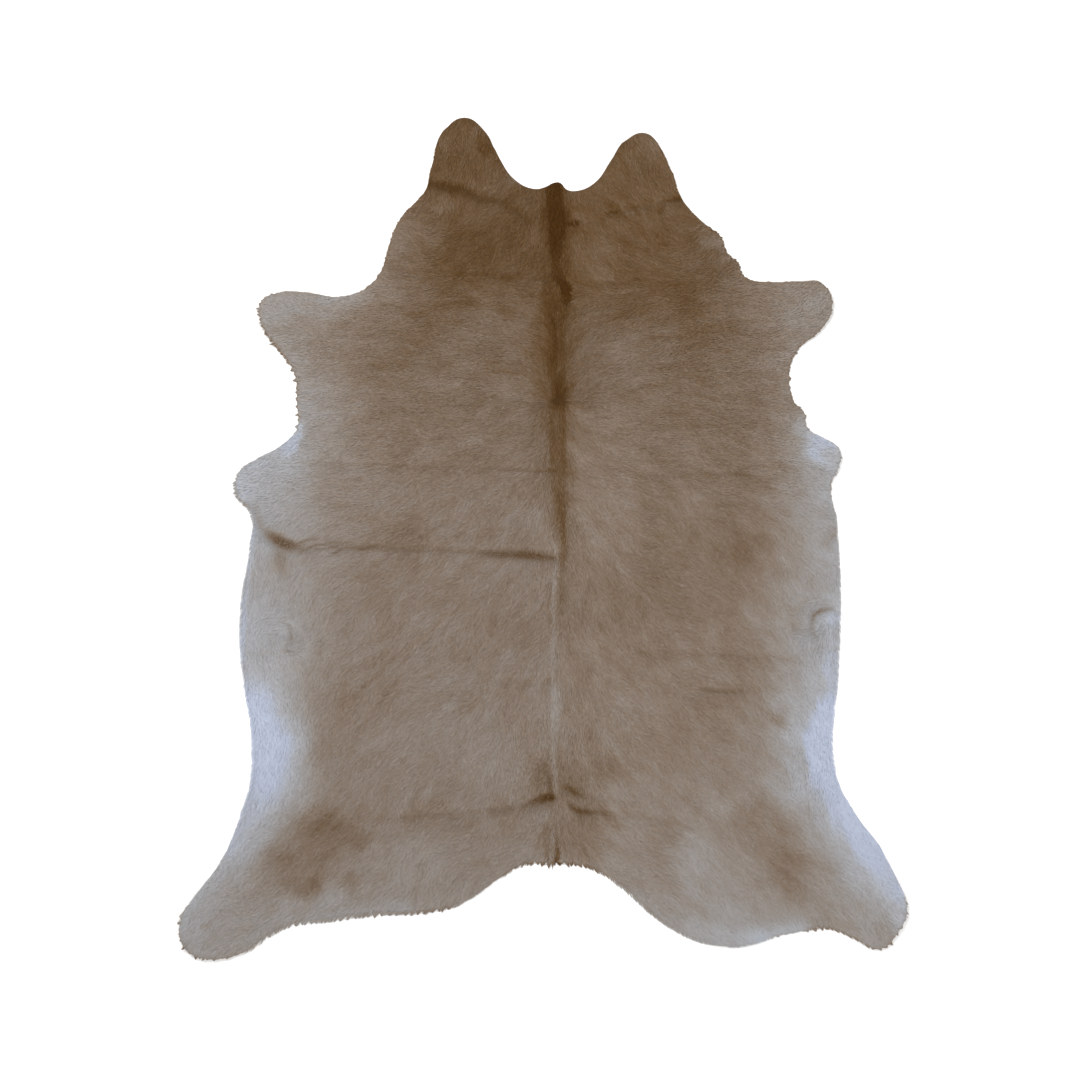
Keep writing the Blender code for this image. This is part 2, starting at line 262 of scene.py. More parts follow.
# Stripes of hair through a few knots, whose tone is a lightness: pale edges first, then the dark mane and
# the line of the back. The core is the share of the half width that has the full strength.
MARKS = lines(Line, {
    # The left belly rim is a thin pale line of painted highlight along the very edge.
    "left belly rim": (0.3, 0.8, (-755, 851, 8, 178), (-766, 925, 9, 176), (-783, 1050, 10, 178),
        (-790, 1121, 12, 184), (-788, 1190, 10, 182)),
    "left leg, outer edge": (0.3, 0.7, (-800, 1530, 85, 176), (-930, 1770, 70, 170)),
    "right leg, outer edge": (0.4, 0.9, (705, 1480, 60, 189), (775, 1610, 80, 189), (850, 1740, 75, 180)),
    "left rear edge": (0.2, 0.7, (-600, 1850, 45, 154), (-380, 1830, 40, 158)),
    "right rear edge": (0.2, 0.8, (330, 1860, 40, 156), (430, 1885, 48, 162), (500, 1890, 50, 176),
        (600, 1875, 50, 172)),
    "withers shade": (0.2, 0.9, (-6, 310, 62, 84), (-2, 370, 76, 85), (0, 450, 88, 87), (2, 530, 84, 91),
        (2, 590, 66, 98)),
    "withers band": (0.3, 0.85, (-6, 310, 48, 75), (-5, 345, 36, 75), (-4, 400, 32, 75), (-4, 470, 32, 75),
        (2, 505, 30, 76)),
    "mane shade": (0.3, 0.5, (-14, 0, 56, 77), (-5, 240, 50, 77)),
    "mane, left side": (0.3, 0.75, (-36, -8, 20, 70), (-35, 50, 18, 74), (-30, 150, 14, 78)),
    "mane, right side": (0.2, 0.75, (28, 55, 14, 74), (30, 100, 20, 70), (28, 150, 18, 74),
        (20, 210, 16, 74)),
    "mane, left foot": (0.3, 0.85, (-22, 240, 18, 78), (-28, 268, 24, 70), (-22, 304, 28, 74)),
    "mane": (0.5, 1.0, (-11, -10, 26, 51), (-11, 45, 25, 49), (-6, 68, 29, 49), (-2, 100, 31, 49),
        (-2, 135, 30, 49), (-3, 156, 24, 55), (-4, 193, 20, 60), (-2, 218, 18, 62), (3, 240, 18, 58),
        (12, 254, 18, 53), (20, 266, 20, 49), (21, 286, 18, 49), (20, 302, 10, 62)),
    "barb, high": (0.2, 0.6, (56, 60, 3, 74), (30, 66, 5, 68), (12, 66, 6, 62)),
    "barb": (0.4, 0.95, (54, 95, 4, 58), (32, 106, 8, 50), (14, 110, 10, 50)),
    "barb, low": (0.1, 0.6, (54, 112, 9, 72), (28, 127, 13, 66)),
    "withers line": (0.3, 0.7, (-12, 345, 5, 67), (-7, 400, 6, 63), (-9, 462, 5, 66)),
    "withers strand, pale": (0.2, 0.6, (0, 322, 4, 92), (1, 400, 4, 86), (2, 468, 5, 90)),
    "withers whorl": (0.2, 0.9, (6, 490, 18, 71), (6, 516, 27, 63), (5, 548, 31, 54), (5, 580, 25, 63),
        (6, 614, 16, 80)),
    "withers whorl, barb": (0.2, 0.6, (22, 520, 10, 66), (48, 497, 5, 76)),
    "back shade": (0.1, 0.75, (4, 600, 56, 92), (4, 720, 52, 96), (6, 870, 42, 102)),
    "back line": (0.05, 0.8, (4, 620, 26, 87), (4, 715, 27, 86), (7, 800, 26, 88), (9, 850, 22, 87),
        (11, 890, 17, 93), (12, 915, 16, 95), (11, 960, 12, 95), (6, 1045, 9, 99)),
    "back strand, left": (0.2, 0.55, (-14, 585, 7, 78), (-15, 700, 8, 86)),
    "back strand, right": (0.2, 0.6, (13, 585, 9, 70), (13, 720, 9, 82)),
    "back strand, pale": (0.1, 0.5, (0, 590, 4, 98), (1, 700, 4, 98), (-2, 780, 5, 102)),
    "back strand, thin": (0.2, 0.6, (10, 820, 6, 82), (12, 900, 6, 84)),
    "loin line, shade": (0.2, 0.5, (12, 955, 24, 112), (8, 1060, 20, 115)),
    "loin line, end": (0.3, 0.7, (7, 1070, 5, 100), (7, 1125, 4, 106)),
    "loin line, left": (0.3, 0.7, (-19, 1000, 5, 107), (-20, 1115, 5, 109)),
    "pale line": (0.3, 0.75, (-9, 905, 7, 131), (-11, 1110, 7, 136), (-11, 1240, 9, 141),
        (-3, 1300, 18, 141), (-8, 1350, 13, 138), (-9, 1420, 10, 134), (-7, 1470, 9, 130),
        (-6, 1555, 7, 122)),
    "tail, pale strand": (0.2, 0.7, (-16, 1592, 6, 124), (-9, 1640, 7, 126)),
    "tail, left strand": (0.2, 0.7, (-32, 1592, 6, 106), (-27, 1689, 8, 98)),
    "tail tuft": (0.3, 0.9, (-1, 1625, 4, 98), (1, 1651, 6, 74), (1, 1672, 8, 82), (-1, 1690, 9, 70),
        (6, 1708, 7, 62)),
})

Fold = namedtuple("Fold", "core height knots")

# Where the hide has been folded, through knots whose tone is how much darker the hair is there: partly the
# darker roots of the parted hair and partly painted shade in the fold, while a tone below 0 is a painted
# highlight along a crest. The height of the soft ridge is in millimetres, less than 0 for a trough.
FOLDS = lines(Fold, {
    "left neck": (0.15, -0.9, (-328, 3, 18, 11), (-264, 12, 22, 15), (-227, 25, 21, 15), (-195, 41, 20, 15),
        (-149, 45, 20, 12), (-103, 69, 18, 8), (-73, 99, 15, 7)),
    "left neck, crest": (0.0, 1.0, (-325, -24, 12, -3), (-150, 22, 12, -3)),
    "right neck, edge": (0.2, -0.8, (298, 40, 11, 21), (280, 43, 8, 16), (254, 46, 5, 6)),
    "right neck, edge crest": (0.2, 0.8, (262, 44, 2.5, -9), (242, 44, 2.5, -9)),
    "right neck, smudge": (0.0, 0.0, (262, 52, 10, 5), (254, 72, 12, 9)),
    "right neck, outer": (0.1, -0.6, (237, 46, 6, 5), (191, 60, 8, 9), (168, 69, 8, 7), (146, 74, 6, 9)),
    "right neck, outer crest": (0.2, 0.8, (190, 75, 2.5, -8), (166, 77, 2.5, -8)),
    "right neck, shade": (0.0, -0.2, (146, 63, 10, 8), (118, 58, 9, 6), (60, 66, 7, 4), (24, 78, 8, 6)),
    "right neck, upper line": (0.4, -1.2, (153, 78, 2.5, 14), (141, 76, 3.8, 34), (127, 76, 3.6, 30),
        (104, 80, 2.5, 10)),
    "right neck, lower line": (0.3, -1.0, (145, 90, 3, 14), (132, 87, 4.4, 30), (116, 83, 2.5, 16)),
    "right neck, crest": (0.2, 1.2, (152, 82, 2.5, -6), (102, 84, 2.5, -6)),
    "right shoulder, short": (0.2, -0.8, (204, 243, 3.5, 13), (184, 238, 3.5, 11)),
    "right shoulder, wavy": (0.1, -0.6, (176, 254, 4, 6), (140, 252, 4, 7), (104, 246, 4, 5)),
    "right shoulder, crest": (0.1, 1.0, (170, 247, 4, -5), (110, 240, 4, -5)),
    "left shoulder": (0.0, -0.4, (-418, 219, 11, 5), (-20, 239, 11, 5)),
    "left ribs, high": (0.0, -0.6, (-568, 700, 6, 4), (-150, 713, 6, 7), (-52, 716, 5, 16),
        (-5, 717, 6, 20)),
    "left flank, shade above": (0.0, 0.0, (-752, 812, 16, 8), (-738, 860, 18, 16)),
    "left flank, pleat": (0.0, -1.8, (-746, 852, 16, 9), (-728, 869, 20, 22), (-706, 886, 24, 40),
        (-685, 898, 26, 49), (-668, 904, 24, 44), (-650, 906, 20, 34), (-634, 907, 14, 20)),
    "left flank, shade below": (0.0, -0.3, (-692, 920, 26, 15), (-686, 972, 24, 7)),
    "left flank, shade along": (0.0, -0.3, (-640, 906, 18, 10), (-460, 906, 16, 8)),
    "left flank, strand 1": (0.1, -0.6, (-645, 899, 5, 34), (-622, 890, 5, 26), (-596, 886, 5, 20)),
    "left flank, strand 2": (0.1, -0.8, (-642, 919, 5, 34), (-623, 911, 5, 30), (-605, 903, 5, 34),
        (-583, 898, 5, 30), (-548, 896, 5, 18)),
    "left flank, strand 3": (0.1, -0.8, (-604, 914, 5, 28), (-572, 908, 5, 26), (-548, 904, 5, 26),
        (-520, 893, 5, 18)),
    "left flank, strand 4": (0.1, -0.7, (-558, 923, 5, 26), (-540, 912, 5, 24), (-517, 907, 5, 20),
        (-480, 911, 6, 18), (-447, 904, 6, 14)),
    "left flank, strand crest": (0.0, 0.9, (-590, 907, 3, -14), (-530, 900, 3, -14)),
    "left flank, middle": (0.0, -0.5, (-470, 910, 13, 9), (-300, 915, 14, 9), (-169, 921, 13, 13)),
    "left flank, inner": (0.15, -1.0, (-190, 920, 12, 12), (-150, 923, 16, 24), (-90, 926, 18, 31),
        (-45, 930, 18, 31), (-12, 933, 14, 24)),
    "left flank, inner crest": (0.0, 0.8, (-150, 902, 9, -4), (-20, 908, 9, -4)),
    "left belly": (0.0, -0.8, (-780, 1173, 7, 8), (-668, 1170, 7, 7)),
    "left belly whorl, inner arc": (0.1, -0.4, (-690, 1092, 5, 8), (-668, 1104, 6, 12), (-664, 1135, 6, 12),
        (-676, 1160, 5, 8)),
    "left belly whorl, outer arc": (0.1, -0.3, (-712, 1118, 5, 8), (-716, 1140, 5, 9), (-704, 1155, 5, 8)),
    "left loin, ridge": (0.0, 0.8, (-468, 1260, 6, -3), (-244, 1066, 6, -3)),
    "left loin, below the ridge": (0.0, -0.4, (-480, 1250, 11, 5), (-360, 1150, 11, 5)),
    "left loin, short": (0.0, -0.4, (-144, 1243, 8, 6), (-20, 1238, 8, 6)),
    "left rump": (0.05, -1.4, (-8, 1531, 10, 40), (-17, 1532, 19, 72), (-36, 1534, 21, 74),
        (-56, 1541, 15, 38), (-85, 1551, 9, 12), (-131, 1558, 8, 7), (-169, 1566, 8, 7), (-440, 1590, 8, 4)),
    "left rump, shade": (0.0, -0.2, (-20, 1548, 26, 12), (-80, 1552, 22, 8), (-170, 1566, 18, 5)),
    "left rump, strand above": (0.1, -0.4, (-30, 1450, 5, 10), (-22, 1480, 7, 16), (-19, 1526, 10, 26)),
    "right rump, upper": (0.1, -1.0, (10, 1508, 9, 12), (26, 1504, 12, 24), (42, 1517, 14, 26),
        (60, 1527, 12, 13), (86, 1533, 10, 6)),
    "right rump, strand above": (0.0, -0.3, (29, 1468, 6, 7), (26, 1505, 8, 10)),
    "right rump, lower": (0.1, -1.0, (25, 1546, 9, 12), (37, 1556, 12, 20), (52, 1565, 15, 26),
        (72, 1567, 12, 22), (95, 1568, 9, 12), (149, 1573, 8, 6), (300, 1592, 8, 4)),
    "right rump, shade below": (0.0, 0.0, (55, 1578, 13, 12), (57, 1596, 11, 7)),
    "tail, right curl": (0.0, -0.2, (60, 1652, 7, 9), (72, 1676, 7, 9)),
    "right hip": (0.0, -0.8, (354, 1262, 8, 11), (453, 1266, 8, 10), (540, 1260, 8, 5)),
    "right loin": (0.0, -0.4, (204, 1172, 9, 4), (603, 1186, 9, 4)),
    "right ribs, high": (0.0, -0.4, (204, 732, 12, 5), (470, 728, 12, 5)),
    "right ribs, middle": (0.0, -0.4, (204, 808, 12, 4), (500, 802, 12, 4)),
    "right flank, high": (0.0, -0.8, (692, 865, 15, 14), (668, 895, 14, 12)),
    "right belly whorl": (0.1, -0.7, (684, 1060, 7, 14), (655, 1066, 9, 24), (636, 1078, 9, 26),
        (632, 1100, 9, 27), (634, 1120, 9, 26), (641, 1140, 7, 14)),
    "right flank, low": (0.0, -0.8, (603, 1166, 7, 10), (700, 1160, 7, 11)),
})

# Stretches where the leather is trimmed closer than the solid. The tone is in millimetres.
TRIMS = stretches(EDGE_CORE, {
    "left flap": ((-262, -158, 40, 3.5), (-225, -165, 40, 3.5), (-165, -112, 35, 3)),
    "right flap": ((184, -120, 35, 2), (240, -110, 30, 1), (276, -60, 35, 3)),
    "left throat": ((-380, 64, 35, 2), (-427, 158, 35, 2), (-454, 228, 35, 3)),
    "right throat": ((349, 79, 35, 3), (408, 129, 35, 3.5), (447, 193, 35, 3.5), (489, 237, 35, 3.5)),
    "right forefoot": ((618, 244, 40, 2), (664, 250, 35, 5), (690, 300, 35, 3)),
    "left forefoot": ((-505, 266, 40, 3), (-642, 264, 50, 5), (-690, 269, 40, 3), (-728, 278, 40, 3),
        (-754, 320, 35, 3.5)),
    "left chest": ((-710, 410, 35, 3), (-660, 490, 35, 5), (-652, 560, 35, 4)),
    "right armpit": ((600, 555, 30, 3), (622, 590, 30, 3)),
    "right flank": ((702, 1170, 40, 2.5), (694, 1290, 40, 3.5)),
    "left hind foot": ((-940, 1800, 40, 4), (-946, 1850, 40, 5), (-925, 1918, 35, 2.5),
        (-849, 1936, 35, 3.5)),
    "right hind foot": ((822, 1687, 40, 3), (850, 1745, 35, 1), (870, 1821, 35, 2.5), (845, 1880, 35, 5),
        (806, 1903, 35, 1), (770, 1905, 30, 2)),
})

# Stretches of the edge where the hair hangs past the leather in little tufts. The tone is how long they are.
FRINGES = stretches(FRINGE_CORE, {
    "left foreleg and chest": ((-740, 270, 55, 0.4), (-745, 340, 55, 0.9), (-650, 480, 50, 1.3),
        (-648, 590, 45, 1.3)),
    "left neck": ((-420, 100, 45, 0.3), (-470, 250, 45, 0.3)),
    "left brisket": ((-800, 700, 45, 0.6), (-800, 790, 45, 0.9)),
    "left hind foot": ((-955, 1830, 50, 1.4), (-930, 1925, 50, 1.4), (-850, 1940, 50, 0.9),
        (-770, 1910, 50, 0.4), (-730, 1890, 50, 0.12), (-640, 1850, 50, 0.15), (-500, 1835, 50, 0.6),
        (-300, 1815, 50, 0.8)),
    "rump": ((-120, 1708, 50, 0.8), (95, 1703, 45, 0.8)),
    "tail root": ((-20, 1700, 30, 2.0), (20, 1700, 30, 2.0)),
    "right hind foot": ((560, 1880, 45, 0.6), (720, 1880, 50, 1.0), (850, 1910, 50, 1.1),
        (880, 1810, 45, 0.9)),
    "right chest": ((590, 420, 45, 0.7), (620, 600, 45, 0.5)),
    "right foreleg": ((680, 290, 45, 0.4), (620, 400, 45, 0.8)),
    "right throat": ((400, 130, 45, 0.4), (470, 240, 45, 0.4)),
    "right brisket": ((700, 660, 40, 0.6), (690, 760, 40, 0.6)),
})

# Stretches of the edge where all the hair leans further out past the leather. The tone is in millimetres.
OVERHANGS = stretches(EDGE_CORE, {
    "left foreleg": ((-745, 340, 40, 4), (-690, 430, 40, 5)),
    "left brisket": ((-795, 770, 40, 6), (-785, 820, 45, 7)),
    "left belly": ((-768, 900, 40, 4), (-790, 1150, 45, 6), (-776, 1298, 45, 4), (-758, 1410, 45, 8),
        (-775, 1545, 40, 5)),
    "left rear edge": ((-740, 1890, 45, 8), (-505, 1842, 45, 9), (-270, 1800, 45, 6)),
    "rump": ((-110, 1700, 45, 5), (0, 1700, 45, 7), (100, 1712, 40, 6)),
    "right rear edge": ((100, 1712, 40, 5), (165, 1757, 40, 7), (250, 1830, 40, 5), (340, 1888, 40, 4)),
    "right sole": ((450, 1902, 40, 5), (505, 1893, 35, 6)),
    "right heel": ((640, 1862, 35, 5), (690, 1862, 35, 5), (750, 1888, 30, 5)),
    "right flank": ((695, 850, 45, 4), (700, 1110, 45, 4), (680, 1430, 45, 5)),
})

Guide = namedtuple("Guide", "out down heading")

# How the coat is combed, the same on both sides: degrees turned outward from straight towards the tail.
# Beside the withers the hair runs up the back, between a ridge at the foot of the mane and a whorl below.
GUIDES = grouped(Guide, {
    "line of the back": ((0, 10, 0), (0, 150, 8), (0, 255, 20), (0, 320, 170), (0, 420, 172), (0, 505, 168),
        (0, 580, 12), (0, 700, 14), (0, 850, 14), (0, 1050, 10), (0, 1400, 10), (0, 1690, 0)),
    "neck flap": ((225, -140, 10), (230, -50, 12), (230, 40, 30)),
    "neck": ((50, 100, 32), (60, 220, 38), (150, 140, 42), (270, 150, 52)),
    "cheek and throat": ((360, 150, 118), (410, 220, 112)),
    "ridge and withers": ((60, 285, 95), (50, 340, 145), (50, 440, 150), (50, 500, 130)),
    "shoulder": ((100, 330, 106), (100, 450, 106), (220, 320, 92), (220, 450, 91), (420, 320, 92)),
    "chest and foreleg": ((420, 500, 91), (600, 400, 92), (700, 310, 117), (600, 540, 90)),
    "below the whorl": ((50, 600, 32),),
    "upper ribs": ((100, 600, 75), (220, 600, 82), (400, 620, 84)),
    "armpit": ((620, 630, 84),),
    "ribs": ((90, 700, 55), (300, 700, 70), (520, 720, 74)),
    "brisket": ((740, 750, 80),),
    "middle ribs": ((50, 810, 30), (110, 820, 50), (300, 820, 60), (520, 820, 70)),
    "lower ribs": ((50, 950, 16), (110, 950, 36), (300, 950, 54), (500, 950, 50)),
    "belly top": ((620, 950, 34), (720, 960, 10)),
    "loin": ((50, 1200, 16), (110, 1200, 34), (300, 1200, 50), (500, 1180, 50)),
    "belly": ((620, 1150, 25), (740, 1230, -12)),
    "hip and flank": ((60, 1450, 22), (200, 1450, 42), (480, 1450, 42), (710, 1450, 8)),
    "rump and hind leg": ((90, 1620, 45), (220, 1680, 45), (430, 1790, 42), (600, 1640, 40), (800, 1770, 48),
        (880, 1860, 44), (620, 1830, 48)),
})

Whorl = namedtuple("Whorl", "out down reach spin")

WHORLS = [Whorl(*row) for row in {
    "left belly": (-687, 1136, 60, 1.0),
    "right belly": (640, 1086, 60, -1.0),
}.values()]


def across(out):
    """The x of a place so many millimetres out from the spine."""
    return SPINE_X + np.asarray(out) * MM


def along(down):
    """The y of a place so many millimetres down from the nape."""
    return NAPE_Y - np.asarray(down) * MM


def between(values, column, row, u, v):
    """A grid's values blended between the four points round each place."""
    lower = values[row, column] * (1 - u) + values[row, column + 1] * u
    upper = values[row + 1, column] * (1 - u) + values[row + 1, column + 1] * u
    return lower * (1 - v) + upper * v


class Field:
    """Even points over the hide, whose values are read between them by straight blending."""

    def __init__(self, pitch):
        low, high = cad_box
        self.pitch = pitch
        self.low_x = low.x - FIELD_MARGIN
        self.low_y = low.y - FIELD_MARGIN
        self.columns = int((high.x - low.x + 2 * FIELD_MARGIN) / pitch) + 2
        self.rows = int((high.y - low.y + 2 * FIELD_MARGIN) / pitch) + 2
        xs = self.low_x + np.arange(self.columns) * pitch
        ys = self.low_y + np.arange(self.rows) * pitch
        self.x, self.y = np.meshgrid(xs, ys)

    def read(self, values, x, y):
        """Values at any places, from the four grid points round each."""
        u = np.clip((x - self.low_x) / self.pitch, 0, self.columns - 1.001)
        v = np.clip((y - self.low_y) / self.pitch, 0, self.rows - 1.001)
        column = u.astype(int)
        row = v.astype(int)
        return between(values, column, row, u - column, v - row)


def smooth(values, rounds):
    """A grid softened by blending each point with its neighbours."""
    for _ in range(rounds):
        wide = np.pad(values, 1, mode="edge")
        values = (wide[:-2, 1:-1] + 2 * wide[1:-1, 1:-1] + wide[2:, 1:-1]) / 4
        wide = np.pad(values, 1, mode="edge")
        values = (wide[1:-1, :-2] + 2 * wide[1:-1, 1:-1] + wide[1:-1, 2:]) / 4
    return values


def soft_noise(field, size, seed):
    """Smooth seeded noise over a field, about -1 to 1, whose blobs are about so many metres wide."""
    random = np.random.default_rng(seed)
    columns = int(field.columns * field.pitch / size) + 5
    rows = int(field.rows * field.pitch / size) + 5
    blobs = smooth(random.normal(0.0, 1.0, (rows, columns)), 1)
    blobs /= blobs.std()
    u = (field.x - field.low_x) / size + 1
    v = (field.y - field.low_y) / size + 1
    column = u.astype(int)
    row = v.astype(int)
    u = u - column
    v = v - row
    return between(blobs, column, row, u * u * (3 - 2 * u), v * v * (3 - 2 * v))


# The outline and the relief, read from the frame

def cad_outline():
    """The foot of the CAD solid's edge all the way round, as an array of x and y, and the solid's tree."""
    solid = bmesh.new()
    solid.from_mesh(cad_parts["hide"].data)
    bmesh.ops.remove_doubles(solid, verts=solid.verts, dist=0.01 * MM)
    solid.normal_update()
    tree = bvhtree.BVHTree.FromBMesh(solid)
    following = {}
    for edge in solid.edges:
        tilts = sorted(face.normal.z for face in edge.link_faces)
        if len(tilts) == 2 and tilts[0] < -LEVEL_NORMAL and abs(tilts[1]) < LEVEL_NORMAL:
            first, second = edge.verts
            following.setdefault(first.index, []).append(second.index)
            following.setdefault(second.index, []).append(first.index)
    start = min(following)
    loop = [start]
    before = None
    here = start
    while True:
        onward = [index for index in following[here] if index != before]
        before, here = here, onward[0]
        if here == start:
            break
        loop.append(here)
    solid.verts.ensure_lookup_table()
    outline = np.array([solid.verts[index].co.xy for index in loop])
    solid.free()
    return outline, tree


def even_loop(outline, step):
    """A closed outline read again at even steps, anticlockwise."""
    closed = np.vstack([outline, outline[:1]])
    lengths = np.hypot(*np.diff(closed, axis=0).T)
    run = np.concatenate([[0.0], np.cumsum(lengths)])
    count = int(run[-1] / step)
    places = np.arange(count) * run[-1] / count
    loop = np.column_stack([np.interp(places, run, closed[:, axis]) for axis in (0, 1)])
    onward = np.roll(loop, -1, axis=0)
    area = 0.5 * np.sum(loop[:, 0] * onward[:, 1] - loop[:, 1] * onward[:, 0])
    return loop if area > 0 else loop[::-1]


def outward(loop):
    """The outward direction at each point of an anticlockwise loop."""
    run = np.roll(loop, -1, axis=0) - np.roll(loop, 1, axis=0)
    run /= np.linalg.norm(run, axis=1)[:, None]
    return np.column_stack([run[:, 1], -run[:, 0]])


def depth_inside(field, loop):
    """How far each grid point lies inside the outline, in metres, and less than 0 outside it."""
    normals = outward(loop)
    tree = kdtree.KDTree(len(loop))
    for index, point in enumerate(loop):
        tree.insert((point[0], point[1], 0.0), index)
    tree.balance()
    flat_x = field.x.ravel()
    flat_y = field.y.ravel()
    nearest = np.empty(flat_x.size, int)
    for index in range(flat_x.size):
        nearest[index] = tree.find((flat_x[index], flat_y[index], 0.0))[1]
    away = np.column_stack([flat_x, flat_y]) - loop[nearest]
    depth = -np.sum(away * normals[nearest], axis=1)
    distance = np.linalg.norm(away, axis=1)
    signed = np.where(depth > 0, distance, -distance)
    return signed.reshape(field.x.shape)


def back_height(field, tree):
    """How high the back of the CAD solid stands over each grid point, carried on past the outline."""
    heights = np.full(field.x.shape, np.nan)
    up = Vector((0.0, 0.0, 1.0))
    for row in range(field.rows):
        for column in range(field.columns):
            start = Vector((field.x[row, column], field.y[row, column], -0.1))
            hit = tree.ray_cast(start, up)[0]
            if hit is not None:
                heights[row, column] = hit.z
    for _ in range(int(FIELD_MARGIN / field.pitch) + 1):
        wide = np.pad(heights, 1, constant_values=np.nan)
        around = np.stack([wide[:-2, 1:-1], wide[2:, 1:-1], wide[1:-1, :-2], wide[1:-1, 2:]])
        known = ~np.isnan(around)
        mean = np.where(known, around, 0.0).sum(axis=0) / np.maximum(known.sum(axis=0), 1)
        mean[~known.any(axis=0)] = np.nan
        heights = np.where(np.isnan(heights), mean, heights)
    return smooth(np.nan_to_num(heights), 1)


def oval_distance(x, y, patch):
    """How far places lie from a patch's middle, as a share of its reach."""
    turn = math.radians(patch.turn)
    away_x = (x - across(patch.out)) / MM
    away_y = (y - along(patch.down)) / MM
    u = (away_x * math.cos(turn) + away_y * math.sin(turn)) / patch.reach_out
    v = (-away_x * math.sin(turn) + away_y * math.cos(turn)) / patch.reach_down
    return np.hypot(u, v)


def soft_step(distance, core=0.0):
    """1 as far as the core, falling smoothly to 0 at a distance of 1."""
    inside = np.clip((1.0 - distance) / (1.0 - core), 0.0, 1.0)
    return inside * inside * (3.0 - 2.0 * inside)


def near_line(x, y, line):
    """Which places are close enough to a line of knots to lie on it."""
    reach = max(knot.half_width for knot in line.knots)
    outs = [knot.out for knot in line.knots]
    downs = [knot.down for knot in line.knots]
    near = (x > across(min(outs) - reach)) & (x < across(max(outs) + reach))
    return near & (y > along(max(downs) + reach)) & (y < along(min(downs) - reach))


def on_line(x, y, line):
    """How much each place is on a line of knots, 0 to 1, and the line's tone there."""
    share = np.zeros_like(x)
    tone = np.zeros_like(x)
    for start, end in zip(line.knots, line.knots[1:]):
        start_x, start_y = across(start.out), along(start.down)
        run_x = across(end.out) - start_x
        run_y = along(end.down) - start_y
        part = ((x - start_x) * run_x + (y - start_y) * run_y) / (run_x * run_x + run_y * run_y)
        part = np.clip(part, 0.0, 1.0)
        half_width = (start.half_width + (end.half_width - start.half_width) * part) * MM
        away = np.hypot(x - start_x - part * run_x, y - start_y - part * run_y)
        here = soft_step(away / half_width, line.core)
        tone = np.where(here > share, start.tone + (end.tone - start.tone) * part, tone)
        share = np.maximum(here, share)
    return share, tone


